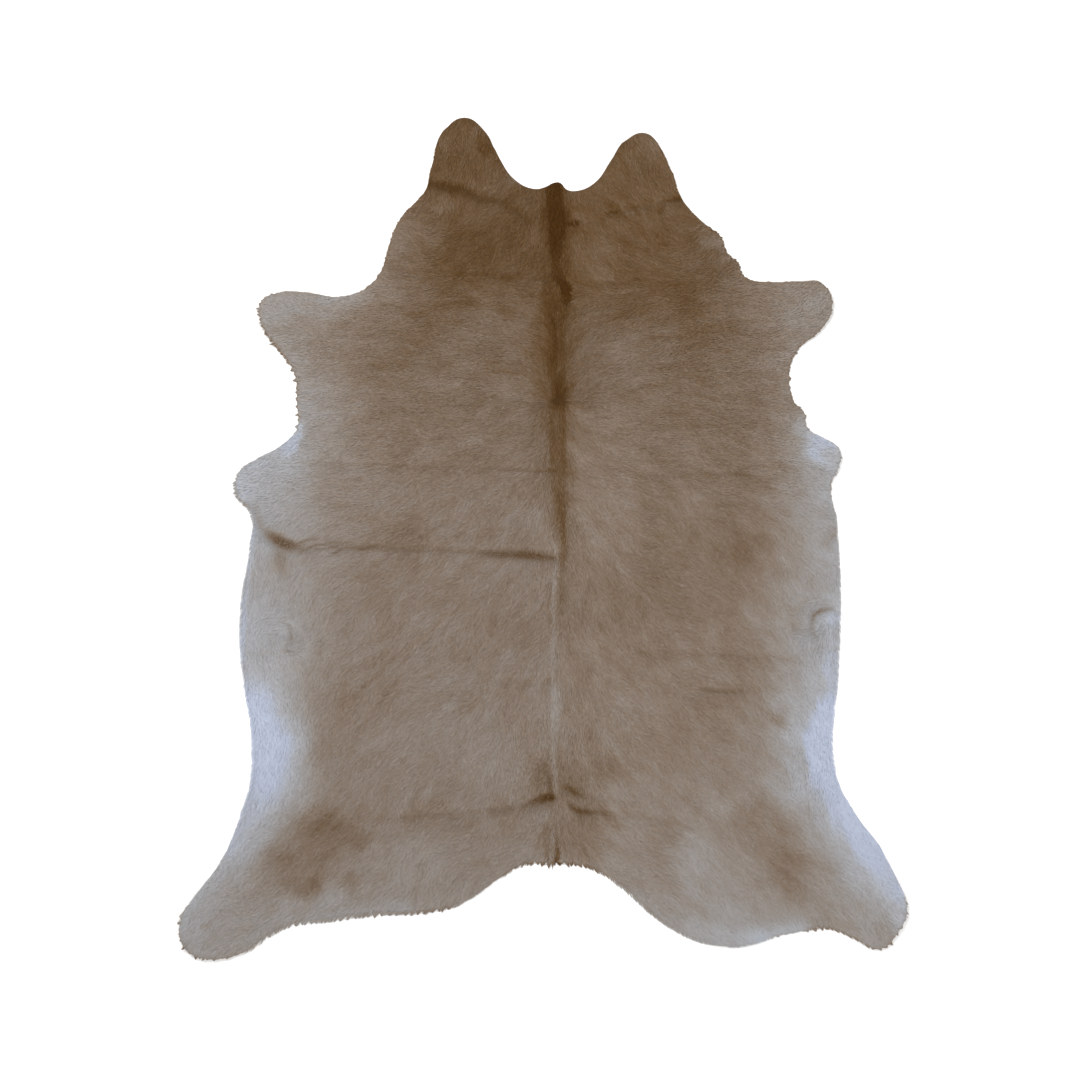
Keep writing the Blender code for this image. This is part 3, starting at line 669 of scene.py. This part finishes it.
class Hide:
    """What the coat and the skin are made from: outline, relief, combing, markings and tone."""

    def __init__(self):
        outline, tree = cad_outline()
        outline = even_loop(outline, OUTLINE_STEP)
        trim = self.at_edge(TRIMS, outline[:, 0], outline[:, 1]) * MM
        self.outline = outline - outward(outline) * trim[:, None]
        self.relief = Field(RELIEF_PITCH)
        self.coat = Field(COAT_PITCH)
        self.fine = Field(CREASE_PITCH)
        self.depth = depth_inside(self.relief, self.outline)
        self.back = back_height(self.relief, tree)
        self.make_creases()
        self.make_combing()
        self.make_unevenness()

    def make_creases(self):
        """The height of each fold and the dark of its parted hair, partly painted shade, with painted
        highlight on its crests, on the fine field.
        """
        field = self.fine
        waver = soft_noise(field, size=24 * MM, seed=11) * CREASE_WAVER * MM
        strength = 1.0 + CREASE_CHANGE * soft_noise(field, size=30 * MM, seed=12)
        self.fold = soft_noise(field, size=60 * MM, seed=13) * SKIN_WAVE * MM
        dark = np.zeros_like(field.x)
        pale = np.zeros_like(field.x)
        for fold in FOLDS:
            near = near_line(field.x, field.y, fold)
            share, tone = on_line(field.x[near], field.y[near] + waver[near], fold)
            share *= strength[near]
            self.fold[near] += fold.height * MM * share
            dark[near] = np.maximum(dark[near], tone * share)
            pale[near] = np.minimum(pale[near], tone * share)
        self.drop = dark + pale

    def make_combing(self):
        """The way the hair lies, as two grids of a unit direction, from the guides and whorls."""
        x, y = self.coat.x, self.coat.y
        side = np.where(x > SPINE_X, 1.0, -1.0)
        out = np.abs(x - SPINE_X) / MM
        down = (NAPE_Y - y) / MM
        weights = np.zeros_like(x)
        lean_out = np.zeros_like(x)
        lean_down = np.zeros_like(x)
        for guide in GUIDES:
            squared = (out - guide.out) ** 2 + (down - guide.down) ** 2
            weight = 1.0 / (squared + GUIDE_REACH ** 2) ** GUIDE_FALL
            heading = math.radians(guide.heading)
            weights += weight
            lean_out += weight * math.sin(heading)
            lean_down += weight * math.cos(heading)
        middle = np.clip(out / SPINE_BLEND, 0.0, 1.0)
        comb_x = side * middle * lean_out / weights
        comb_y = -lean_down / weights
        for whorl in WHORLS:
            away_x = x - across(whorl.out)
            away_y = y - along(whorl.down)
            distance = np.hypot(away_x, away_y) / (whorl.reach * MM)
            share = np.clip(np.exp(-distance * distance) * WHORL_PULL, 0.0, 1.0)
            length = np.maximum(np.hypot(away_x, away_y), TINY)
            swirl_x = WHORL_OUTWARD * away_x - whorl.spin * away_y
            swirl_y = WHORL_OUTWARD * away_y + whorl.spin * away_x
            comb_x = comb_x * (1 - share) + share * swirl_x / length
            comb_y = comb_y * (1 - share) + share * swirl_y / length
        turn = WIDE_WAVER * soft_noise(self.coat, size=45 * MM, seed=21)
        turn = turn + FINE_WAVER * soft_noise(self.coat, size=14 * MM, seed=22)
        comb_x, comb_y = (
            comb_x * np.cos(turn) - comb_y * np.sin(turn),
            comb_x * np.sin(turn) + comb_y * np.cos(turn),
        )
        length = np.maximum(np.hypot(comb_x, comb_y), TINY)
        self.comb_x = comb_x / length
        self.comb_y = comb_y / length

    def streaked(self, values, reach):
        """A grid's values drawn out along the combing, so many metres each way."""
        total = values.copy()
        steps = int(reach / COAT_PITCH)
        for way in (-1.0, 1.0):
            x = self.coat.x.copy()
            y = self.coat.y.copy()
            for _ in range(steps):
                comb_x = self.coat.read(self.comb_x, x, y)
                comb_y = self.coat.read(self.comb_y, x, y)
                x += way * COAT_PITCH * comb_x
                y += way * COAT_PITCH * comb_y
                total += self.coat.read(values, x, y)
        total -= total.mean()
        return total / total.std()

    def make_unevenness(self):
        """Grids of lighter and darker hair, and of how far the markings' edges wander."""
        random = np.random.default_rng(seed=31)
        fine = self.streaked(random.normal(0.0, 1.0, self.coat.x.shape), reach=15 * MM)
        tufts = self.streaked(soft_noise(self.coat, size=9 * MM, seed=32), reach=24 * MM)
        clouds = soft_noise(self.coat, size=50 * MM, seed=33) + soft_noise(self.coat, size=130 * MM, seed=34)
        self.uneven = FINE_SPREAD * fine + TUFT_SPREAD * tufts + CLOUD_SPREAD * clouds
        self.drift_x = soft_noise(self.coat, size=45 * MM, seed=41) * PATCH_DRIFT + tufts * TUFT_DRIFT
        self.drift_y = soft_noise(self.coat, size=45 * MM, seed=42) * PATCH_DRIFT + tufts * TUFT_DRIFT
        self.clumps = soft_noise(self.coat, size=CLUMP_WIDTH, seed=43)

    def height(self, x, y):
        """The height of the skin's back at any places."""
        base = self.relief.read(self.back, x, y)
        return np.maximum(base + self.fine.read(self.fold, x, y), 0.0)

    def ground(self, x, y):
        """The lightness of the coat at any places before its patches: the back, paling to each side."""
        out = (x - SPINE_X) / MM
        down = (NAPE_Y - y) / MM
        steps = [level.down for level in LEVELS]

        def at_level(column):
            left = np.interp(down, steps, [getattr(level.left, column) for level in LEVELS])
            right = np.interp(down, steps, [getattr(level.right, column) for level in LEVELS])
            return left + (right - left) * (1.0 - soft_step(0.5 + out / MIDDLE_WIDTH))

        turn = at_level("turn")
        share = 1.0 - soft_step(np.clip((np.abs(out) - turn) / (at_level("pale") - turn), 0.0, 1.0))
        return at_level("back") + (at_level("edge") - at_level("back")) * share

    def lightness(self, x, y):
        """How light the hair that grows at any places is, 0 black to 255 white."""
        wide_x = x + self.coat.read(self.drift_x, x, y)
        wide_y = y + self.coat.read(self.drift_y, x, y)
        light = self.ground(wide_x, wide_y)
        for patch in PATCHES:
            share = patch.strength * soft_step(oval_distance(wide_x, wide_y, patch), patch.core)
            light += (patch.lightness - light) * share
        mark_x = x + MARK_DRIFT * (wide_x - x)
        mark_y = y + MARK_DRIFT * (wide_y - y)
        for mark in MARKS:
            near = near_line(mark_x, mark_y, mark)
            share, tone = on_line(mark_x[near], mark_y[near], mark)
            light[near] += (tone - light[near]) * share * mark.strength
        light += np.interp(light, CALM_LIGHTNESS, CALM_SHARE) * self.coat.read(self.uneven, x, y)
        return light

    def rim_drop(self, x, y):
        """How much darker the ends of the hair are at any places, for the shade under a tufted edge."""
        rim = soft_step(self.relief.read(self.depth, x, y) / RIM_WIDTH)
        return RIM_DROP * rim * np.minimum(self.at_edge(FRINGES, x, y), 1.0)

    def crease_drop(self, x, y):
        """How much darker the hair is at any places, for the creases that pass there: partly parted hair,
        partly painted shade, and painted highlight where it is below 0.
        """
        return self.fine.read(self.drop, x, y)

    def at_edge(self, stretches, x, y):
        """The tone that stretches of the edge have near any places, 0 away from them."""
        found = np.zeros_like(x)
        for stretch in stretches:
            near = near_line(x, y, stretch)
            share, tone = on_line(x[near], y[near], stretch)
            found[near] = np.maximum(found[near], tone * share)
        return found

    def way_out(self, x, y):
        """The direction straight towards the nearest edge at any places."""
        step = 2 * RELIEF_PITCH
        out_x = self.relief.read(self.depth, x - step, y) - self.relief.read(self.depth, x + step, y)
        out_y = self.relief.read(self.depth, x, y - step) - self.relief.read(self.depth, x, y + step)
        length = np.maximum(np.hypot(out_x, out_y), TINY)
        return out_x / length, out_y / length


# Materials

def linear(red, green, blue):
    """A screen colour, 0 to 255, as the shader's linear colour."""
    shades = [value / 255 for value in (red, green, blue)]
    shades = [value / 12.92 if value < 0.04045 else ((value + 0.055) / 1.055) ** 2.4 for value in shades]
    return (*shades, 1.0)


class Shader:
    """A material's nodes, added one by one."""

    def __init__(self, name):
        self.material = bpy.data.materials.new(name)
        self.material.use_nodes = True
        self.tree = self.material.node_tree
        self.surface = self.tree.nodes["Principled BSDF"]

    def node(self, kind, **settings):
        made = self.tree.nodes.new(kind)
        for name, value in settings.items():
            setattr(made, name, value)
        return made

    def link(self, source, target):
        self.tree.links.new(source, target)

    def fill(self, node, socket, value):
        """Set a socket to a number or colour, or link another socket to it."""
        if isinstance(value, bpy.types.NodeSocket):
            self.link(value, node.inputs[socket])
        else:
            node.inputs[socket].default_value = value

    def attribute(self, name):
        return self.node("ShaderNodeAttribute", attribute_name=name).outputs["Fac"]

    def mix(self, factor, first, second):
        made = self.node("ShaderNodeMix", data_type="RGBA")
        self.fill(made, 0, factor)
        self.fill(made, 6, first)
        self.fill(made, 7, second)
        return made.outputs[2]

    def math(self, operation, first, second):
        made = self.node("ShaderNodeMath", operation=operation)
        self.fill(made, 0, first)
        self.fill(made, 1, second)
        return made.outputs[0]

    def spread(self, value, low, high, to_low, to_high):
        """A value's range from low to high, spread over another range."""
        made = self.node("ShaderNodeMapRange")
        self.fill(made, 0, value)
        for socket, number in zip((1, 2, 3, 4), (low, high, to_low, to_high)):
            made.inputs[socket].default_value = number
        return made.outputs[0]

    def noise(self, vector, scale, detail, roughness):
        made = self.node("ShaderNodeTexNoise")
        self.fill(made, "Vector", vector)
        made.inputs["Scale"].default_value = scale
        made.inputs["Detail"].default_value = detail
        made.inputs["Roughness"].default_value = roughness
        return made.outputs["Fac"]

    def bump(self, height, strength, distance):
        made = self.node("ShaderNodeBump")
        made.inputs["Strength"].default_value = strength
        made.inputs["Distance"].default_value = distance
        self.link(height, made.inputs["Height"])
        self.link(made.outputs[0], self.surface.inputs["Normal"])


Dye = namedtuple("Dye", "lightness red green blue")

# The colours of the hair, from the dark line of the back to the bluish white of the flanks.
DYES = [Dye(*row) for row in {
    "dark line": (53, 64, 37, 0),
    "brown": (73, 85, 60, 30),
    "light brown": (89, 101, 78, 55),
    "tan": (105, 116, 98, 81),
    "fawn": (121, 130, 115, 102),
    "grey fawn": (137, 142, 133, 125),
    "grey": (153, 152, 149, 148),
    "pale": (169, 164, 165, 169),
    "bluish white": (185, 173, 180, 198),
    "white": (200, 183, 191, 211),
}.values()]
SHADE_LOW = 45.0
SHADE_HIGH = 205.0


def shade(lightness):
    """A lightness as a share of the range that the dyes cover."""
    return np.clip((lightness - SHADE_LOW) / (SHADE_HIGH - SHADE_LOW), 0.0, 1.0)


def colour_hair(shader, light):
    """Colour a material by the lightness of the hair, times how lit each place on it is."""
    grey = shader.node("ShaderNodeCombineColor")
    for socket in range(3):
        shader.link(light, grey.inputs[socket])
    tinted = shader.node("ShaderNodeMix", data_type="RGBA", blend_type="MULTIPLY")
    tinted.inputs[0].default_value = 1.0
    ramp = shader.node("ShaderNodeValToRGB")
    shader.link(shader.attribute("shade"), ramp.inputs[0])
    stops = ramp.color_ramp.elements
    while len(stops) < len(DYES):
        stops.new(0.5)
    for stop, dye in zip(stops, DYES):
        stop.position = float(shade(dye.lightness))
        stop.color = linear(dye.red, dye.green, dye.blue)
    shader.link(ramp.outputs[0], tinted.inputs[6])
    shader.link(grey.outputs[0], tinted.inputs[7])
    shader.link(tinted.outputs[2], shader.surface.inputs["Base Color"])


def coat_material():
    """Short glossy hair: each lock but the white ones darker at its root, partly its own darker roots and
    partly painted shade where the locks lie over one another, with fine fibres along it.
    """
    shader = Shader("coat_hair")
    strand = shader.node("ShaderNodeUVMap", uv_map="Strand").outputs[0]
    fibres = shader.node("ShaderNodeMapping")
    fibres.inputs["Scale"].default_value = (1.0, 0.12, 1.0)
    shader.link(strand, fibres.inputs["Vector"])
    fibre = shader.noise(fibres.outputs[0], scale=5.0, detail=2.0, roughness=0.6)
    # Darker towards the root: partly the hair's own darker roots, partly painted shade under the locks lying
    # over it.
    root = shader.spread(shader.attribute("reach"), 0.0, 0.55, 0.82, 1.0)
    root = shader.math("MAXIMUM", root, shader.spread(shader.attribute("shade"), 0.78, 0.9, 0.82, 1.0))
    light = shader.math("MULTIPLY", root, shader.spread(fibre, 0.3, 0.7, 0.93, 1.06))
    colour_hair(shader, light)
    shader.link(shader.spread(fibre, 0.2, 0.8, 0.62, 0.48), shader.surface.inputs["Roughness"])
    shader.surface.inputs["Specular IOR Level"].default_value = 0.13
    shader.surface.inputs["Specular Tint"].default_value = (1.0, 0.84, 0.66, 1.0)
    shader.bump(fibre, strength=0.35, distance=0.0004)
    return shader.material


def scalp_material():
    """The hair side of the leather under the coat: dense short hair of the coat's own colour, painted darker
    for the shade down among the locks.
    """
    shader = Shader("hair_side")
    place = shader.node("ShaderNodeTexCoord").outputs["Object"]
    grain = shader.noise(place, scale=900.0, detail=3.0, roughness=0.6)
    # Painted shade: the scalp is 0.68 to 0.92 times the coat's colour, for the shade down among the locks.
    colour_hair(shader, shader.spread(grain, 0.3, 0.7, 0.68, 0.92))
    shader.surface.inputs["Roughness"].default_value = 0.85
    shader.surface.inputs["Specular IOR Level"].default_value = 0.2
    shader.bump(grain, strength=0.5, distance=0.0005)
    return shader.material


def suede_material():
    """The bare back and cut edge: pale napped suede, cloudy, with faint veins."""
    shader = Shader("suede_back")
    place = shader.node("ShaderNodeTexCoord").outputs["Object"]
    cloud = shader.noise(place, scale=7.0, detail=4.0, roughness=0.55)
    nap = shader.noise(place, scale=700.0, detail=3.0, roughness=0.65)
    cloudy = shader.spread(cloud, 0.35, 0.65, 0.0, 1.0)
    colour = shader.mix(cloudy, linear(186, 166, 142), linear(206, 190, 168))
    colour = shader.mix(shader.spread(nap, 0.35, 0.75, 0.0, 0.45), colour, linear(160, 138, 114))
    veins = shader.node("ShaderNodeTexVoronoi", feature="DISTANCE_TO_EDGE")
    warped = shader.node("ShaderNodeVectorMath", operation="ADD")
    shader.link(place, warped.inputs[0])
    drift = shader.node("ShaderNodeTexNoise")
    drift.inputs["Scale"].default_value = 9.0
    shader.link(place, drift.inputs["Vector"])
    shader.link(drift.outputs["Color"], warped.inputs[1])
    shader.link(warped.outputs[0], veins.inputs["Vector"])
    veins.inputs["Scale"].default_value = 5.0
    vein = shader.spread(veins.outputs["Distance"], 0.0, 0.035, 0.22, 0.0)
    colour = shader.mix(vein, colour, linear(150, 124, 100))
    shader.link(colour, shader.surface.inputs["Base Color"])
    shader.link(shader.spread(nap, 0.2, 0.8, 0.86, 0.97), shader.surface.inputs["Roughness"])
    shader.surface.inputs["Specular IOR Level"].default_value = 0.2
    shader.surface.inputs["Sheen Weight"].default_value = 0.15
    shader.bump(nap, strength=0.45, distance=0.0006)
    return shader.material


# Meshes

def new_mesh(name, points, faces, corners):
    """A mesh object from arrays of points and of faces that all have the same number of corners."""
    mesh = bpy.data.meshes.new(name)
    count = len(faces)
    mesh.vertices.add(len(points))
    mesh.vertices.foreach_set("co", np.asarray(points, np.float32).ravel())
    mesh.loops.add(count * corners)
    mesh.loops.foreach_set("vertex_index", np.asarray(faces, np.int32).ravel())
    mesh.polygons.add(count)
    mesh.polygons.foreach_set("loop_start", np.arange(count, dtype=np.int32) * corners)
    mesh.update(calc_edges=True)
    mesh.polygons.foreach_set("use_smooth", np.ones(count, bool))
    made = bpy.data.objects.new(name, mesh)
    bpy.context.scene.collection.objects.link(made)
    return made


def add_values(made, name, values):
    """One number at each point."""
    layer = made.data.attributes.new(name, "FLOAT", "POINT")
    layer.data.foreach_set("value", np.asarray(values, np.float32))


def add_map(made, name, u, v):
    """A map of u and v, given at each point."""
    layer = made.data.uv_layers.new(name=name)
    corners = np.empty(len(made.data.loops), np.int32)
    made.data.loops.foreach_get("vertex_index", corners)
    layer.data.foreach_set("uv", np.column_stack([u[corners], v[corners]]).astype(np.float32).ravel())


def plan(x, y):
    """Places on the hide as seen from above, 0 to 1 each way."""
    low, high = cad_box
    side = max(high.x - low.x, high.y - low.y) + 2 * PLAN_MARGIN
    return (x - low.x + PLAN_MARGIN) / side, (y - low.y + PLAN_MARGIN) / side


def lattice(hide, loop, pitch):
    """Even triangles inside an anticlockwise loop: their points, the loop's own first, and their corners."""
    low = loop.min(axis=0)
    high = loop.max(axis=0)
    rows = int((high[1] - low[1]) / (pitch * math.sqrt(3) / 2)) + 1
    columns = int((high[0] - low[0]) / pitch) + 1
    row, column = np.mgrid[:rows, :columns]
    x = (low[0] + (column + (row % 2) / 2) * pitch).ravel()
    y = (low[1] + row * pitch * math.sqrt(3) / 2).ravel()
    inside = hide.relief.read(hide.depth, x, y) > EDGE_INSET + LATTICE_GAP * pitch
    points = np.vstack([loop, np.column_stack([x[inside], y[inside]])])
    edge = len(loop)
    links = [(index, (index + 1) % edge) for index in range(edge)]
    made = geometry.delaunay_2d_cdt([Vector(point) for point in points], links, [], 0, JOIN_DISTANCE, True)
    sources = np.array([came_from[0] for came_from in made[3]])
    faces = sources[np.array(made[2])]
    first, second, third = faces.T
    on_edge = (faces < edge).all(axis=1)
    forward = (first < second) & (second < third)
    forward |= (second < third) & (third < first)
    forward |= (third < first) & (first < second)
    return points, faces[~on_edge | forward]


def make_skin(hide):
    """The leather: hair side, cut edge and back, as one closed sheet."""
    rim = even_loop(hide.outline, EDGE_STEP)
    rim = rim - outward(rim) * EDGE_INSET
    top, top_faces = lattice(hide, rim, TOP_PITCH)
    back, back_faces = lattice(hide, rim, BACK_PITCH)
    top_rim = np.arange(len(rim))
    back_rim = top_rim + len(top)
    top_z = hide.height(top[:, 0], top[:, 1]) + LEATHER_THICKNESS
    back_z = hide.height(back[:, 0], back[:, 1])
    points = np.vstack([np.column_stack([top, top_z]), np.column_stack([back, back_z])])
    next_top = np.roll(top_rim, -1)
    next_back = np.roll(back_rim, -1)
    wall = np.vstack([
        np.column_stack([top_rim, back_rim, next_top]),
        np.column_stack([next_top, back_rim, next_back]),
    ])
    faces = np.vstack([top_faces, back_faces[:, ::-1] + len(top), wall])
    skin = new_mesh("skin", points, faces, 3)
    slots = np.ones(len(faces), np.int32)
    slots[: len(top_faces)] = 0
    skin.data.materials.append(scalp_material())
    skin.data.materials.append(suede_material())
    skin.data.polygons.foreach_set("material_index", slots)
    x, y = points[:, 0], points[:, 1]
    # The skin takes the creases' darkening too, partly painted shade in the folds.
    add_values(skin, "shade", shade(hide.lightness(x, y) - hide.crease_drop(x, y)))
    skin.data.set_sharp_from_angle(angle=math.radians(SHARP_ANGLE))
    return skin


def lock_roots(hide, random):
    """Where the locks grow: an even scatter inside the leather's edge."""
    low, high = cad_box
    xs = np.arange(low.x, high.x, LOCK_PITCH)
    ys = np.arange(low.y, high.y, LOCK_PITCH)
    x, y = np.meshgrid(xs, ys)
    x = x.ravel() + random.uniform(-0.5, 0.5, x.size) * LOCK_PITCH
    y = y.ravel() + random.uniform(-0.5, 0.5, y.size) * LOCK_PITCH
    inside = hide.relief.read(hide.depth, x, y) > EDGE_INSET + ROOT_MARGIN
    return x[inside], y[inside]


def tuft_tips(hide, random):
    """Where the hair that hangs past the edge gathers into points: their places."""
    steps = np.cumsum(random.integers(*TUFT_STEPS, len(hide.outline)))
    picked = steps[steps < len(hide.outline)]
    base = hide.outline[picked]
    away = outward(hide.outline)[picked]
    comb = np.column_stack([hide.coat.read(grid, *base.T) for grid in (hide.comb_x, hide.comb_y)])
    slope = np.sum(comb * away, axis=1)
    hang = FRINGE_HANG * hide.at_edge(FRINGES, *base.T) * random.uniform(*TUFT_RANGE, len(base)) ** 2
    hang *= np.clip(SLOPE_GAIN * slope, 0.0, 1.0)
    hang += hide.at_edge(OVERHANGS, *base.T) * MM
    return base + comb * (hang / np.maximum(slope, LEAST_SLOPE))[:, None]


def lock_tips(hide, random, x, y):
    """Where each lock ends: along the combing, then short of the edge or gathered into a tuft past it."""
    count = x.size
    comb_x = hide.coat.read(hide.comb_x, x, y)
    comb_y = hide.coat.read(hide.comb_y, x, y)
    heading = np.arctan2(comb_y, comb_x) + random.normal(0.0, HEADING_SPREAD, count)
    fringe = hide.at_edge(FRINGES, x, y)
    length = LOCK_LENGTH * random.uniform(*LENGTH_RANGE, count)
    length = length * (1.0 + FRINGE_GROWTH * np.minimum(fringe, 1.0))
    length *= 1.0 - CREASE_CUT * np.clip(np.abs(hide.crease_drop(x, y)) / SHARP_DROP, 0.0, 1.0)
    run_x, run_y = np.cos(heading) * length, np.sin(heading) * length
    depth = hide.relief.read(hide.depth, x, y)
    overhang = hide.at_edge(OVERHANGS, x, y) * MM
    out_x, out_y = hide.way_out(x, y)
    lean = LEAN * overhang * soft_step(np.maximum(depth, 0.0) / LEAN_DEPTH)
    run_x, run_y = run_x + out_x * lean, run_y + out_y * lean
    tip_depth = hide.relief.read(hide.depth, x + run_x, y + run_y)
    hang = random.uniform(0.0, EDGE_HANG, count) + overhang * random.uniform(*OVERHANG_RANGE, count)
    fits = (depth + hang) / np.maximum(depth - tip_depth, TINY)
    kept = np.where(tip_depth < -hang, np.clip(fits, SHORTEST_SHARE, 1.0), 1.0)
    tip_x, tip_y = x + run_x * kept, y + run_y * kept

    tufts = tuft_tips(hide, random)
    tree = kdtree.KDTree(len(tufts))
    for index, (tuft_x, tuft_y) in enumerate(tufts):
        tree.insert((tuft_x, tuft_y, 0.0), index)
    tree.balance()
    gathered = random.uniform(0.0, 1.0, count) < GATHERED
    for index in np.flatnonzero((tip_depth < 0.0) & (fringe > FRINGE_LEAST) & gathered):
        _, tuft, distance = tree.find((tip_x[index], tip_y[index], 0.0))
        if distance < TUFT_REACH:
            tip_x[index], tip_y[index] = tufts[tuft] + random.normal(0.0, POINT_SPREAD, 2)
    return tip_x, tip_y


def make_coat(hide):
    """The whole coat: bent, pointed locks of hair, in a few pieces by where they grow."""
    random = np.random.default_rng(seed=51)
    x, y = lock_roots(hide, random)
    count = x.size
    tip_x, tip_y = lock_tips(hide, random, x, y)
    run_x, run_y = tip_x - x, tip_y - y
    length = np.maximum(np.hypot(run_x, run_y), SHORTEST_RUN)
    half = LOCK_WIDTH * random.uniform(*WIDTH_RANGE, count) / 2
    rise = random.uniform(*RISE_RANGE, count) * MM
    roll = random.normal(0.0, ROLL_SPREAD, count)
    middle_x, middle_y = x + run_x * LOCK_BULGE, y + run_y * LOCK_BULGE
    side_x, side_y = -run_y / length * half, run_x / length * half
    left_x, left_y = middle_x + side_x, middle_y + side_y
    right_x, right_y = middle_x - side_x, middle_y - side_y

    def on_skin(px, py, above):
        return np.column_stack([px, py, hide.height(px, py) + LEATHER_THICKNESS + above])

    root = on_skin(x, y, -ROOT_SINK)
    left = on_skin(left_x, left_y, rise + np.sin(roll) * half)
    right = on_skin(right_x, right_y, rise - np.sin(roll) * half)
    tip = on_skin(tip_x, tip_y, rise * random.uniform(*TIP_RISE_RANGE, count))
    outside = np.clip(-hide.relief.read(hide.depth, tip_x, tip_y) / DROOP_REACH, 0.0, 1.0)
    tip[:, 2] *= 1 - DROOP * outside

    share = random.uniform(*SAMPLE_RANGE, count) + CLUMP_SHARE * hide.coat.read(hide.clumps, x, y)
    seen_x = x + run_x * share + random.normal(0.0, SAMPLE_SPREAD, count)
    seen_y = y + run_y * share + random.normal(0.0, SAMPLE_SPREAD, count)
    light = hide.lightness(seen_x, seen_y)
    light += random.normal(0.0, LOCK_SPREAD, count) * np.interp(light, CALM_LIGHTNESS, CALM_SHARE)
    # Creases darken each lock, partly with painted shade, and a tufted edge darkens the hair ends with
    # painted shade.
    taken = random.uniform(*CREASE_RANGE, count)
    light -= hide.crease_drop(seen_x, seen_y) * CREASE_SHARE * taken
    ends = ((x, y), (right_x, right_y), (left_x, left_y), (tip_x, tip_y))
    drops = [hide.crease_drop(px, py) * (1.0 - CREASE_SHARE) * taken for px, py in ends]
    drops = [drop + hide.rim_drop(px, py) for drop, (px, py) in zip(drops, ends)]
    shades = np.column_stack([shade(light - drop) for drop in drops])
    material = coat_material()
    order = np.argsort(y, kind="stable")
    pieces = []
    for number, members in enumerate(np.array_split(order, LOCK_PIECES)):
        size = len(members)
        points = np.stack([part[members] for part in (root, right, left, tip)], axis=1).reshape(-1, 3)
        first = np.arange(size)[:, None] * 4
        faces = np.hstack([first + [0, 1, 2], first + [2, 1, 3]]).reshape(-1, 3)
        piece = new_mesh(f"coat_{number + 1}", points, faces, 3)
        piece.data.materials.append(material)
        reach = np.tile([0.0, LOCK_BULGE, LOCK_BULGE, 1.0], size)
        add_values(piece, "shade", shades[members].ravel())
        add_values(piece, "reach", reach)
        add_map(piece, "OFBake", *plan(points[:, 0], points[:, 1]))
        strand = np.repeat(random.uniform(0.0, STRAND_SPREAD, size), 4)
        add_map(piece, "Strand", strand + np.tile([0.5, 1.0, 0.0, 0.5], size), reach * STRAND_STRETCH)
        pieces.append(piece)
    return pieces


# Floor, light and camera

PHOTO_PIXELS = 1080
PIXEL_SIZE = 2.4911 * MM
HIDE_MIDDLE_ACROSS = 542.5
HIDE_MIDDLE_DOWN = 538.5
CAMERA_HEIGHT = 6.0
CAMERA_SIGHT = 60.0
SENSOR = 36.0
FLOOR_SIZE = 40.0
FLOOR_WHITE = 0.95
ROOM_STRENGTH = 0.75


def make_floor():
    """A plain pale floor, far wider than the hide."""
    bpy.ops.mesh.primitive_plane_add(size=FLOOR_SIZE, location=(0.0, 0.0, 0.0))
    floor = bpy.context.object
    floor.name = "floor"
    shader = Shader("floor_paint")
    shader.surface.inputs["Base Color"].default_value = (FLOOR_WHITE, FLOOR_WHITE, FLOOR_WHITE, 1.0)
    shader.surface.inputs["Roughness"].default_value = 0.9
    shader.surface.inputs["Specular IOR Level"].default_value = 0.1
    floor.data.materials.append(shader.material)


def add_soft_light(name, place, size, power):
    """A square soft box that faces the middle of the hide."""
    data = bpy.data.lights.new(name, "AREA")
    data.shape = "SQUARE"
    data.size = size
    data.energy = power
    light = bpy.data.objects.new(name, data)
    bpy.context.scene.collection.objects.link(light)
    light.location = place
    light.rotation_euler = (-Vector(place)).to_track_quat("-Z", "Y").to_euler()


def make_light():
    """Even light from a pale room, and one large soft box above the neck end."""
    world = bpy.data.worlds.new("studio")
    bpy.context.scene.world = world
    world.use_nodes = True
    world.node_tree.nodes["Background"].inputs["Color"].default_value = (1.0, 1.0, 1.0, 1.0)
    world.node_tree.nodes["Background"].inputs["Strength"].default_value = ROOM_STRENGTH
    add_soft_light("key", (-2.6, 3.2, 4.2), size=2.6, power=260.0)
    add_soft_light("fill", (3.0, -2.4, 4.6), size=3.2, power=90.0)


def make_camera():
    """Straight above, framing the floor as the photograph does."""
    data = bpy.data.cameras.new("camera")
    data.sensor_width = SENSOR
    data.lens = SENSOR * CAMERA_HEIGHT / (PHOTO_PIXELS * PIXEL_SIZE)
    data.clip_end = CAMERA_SIGHT
    camera = bpy.data.objects.new("camera", data)
    bpy.context.scene.collection.objects.link(camera)
    camera.location = (
        (PHOTO_PIXELS / 2 - HIDE_MIDDLE_ACROSS) * PIXEL_SIZE,
        (HIDE_MIDDLE_DOWN - PHOTO_PIXELS / 2) * PIXEL_SIZE,
        CAMERA_HEIGHT,
    )
    bpy.context.scene.camera = camera


bpy.context.scene.view_settings.view_transform = "Standard"
make_floor()
make_light()
make_camera()

hide = Hide()
skin = make_skin(hide)
coat = make_coat(hide)

for piece in [skin, *coat]:
    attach(piece, "root")
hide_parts("hide")

bpy.context.view_layer.update()
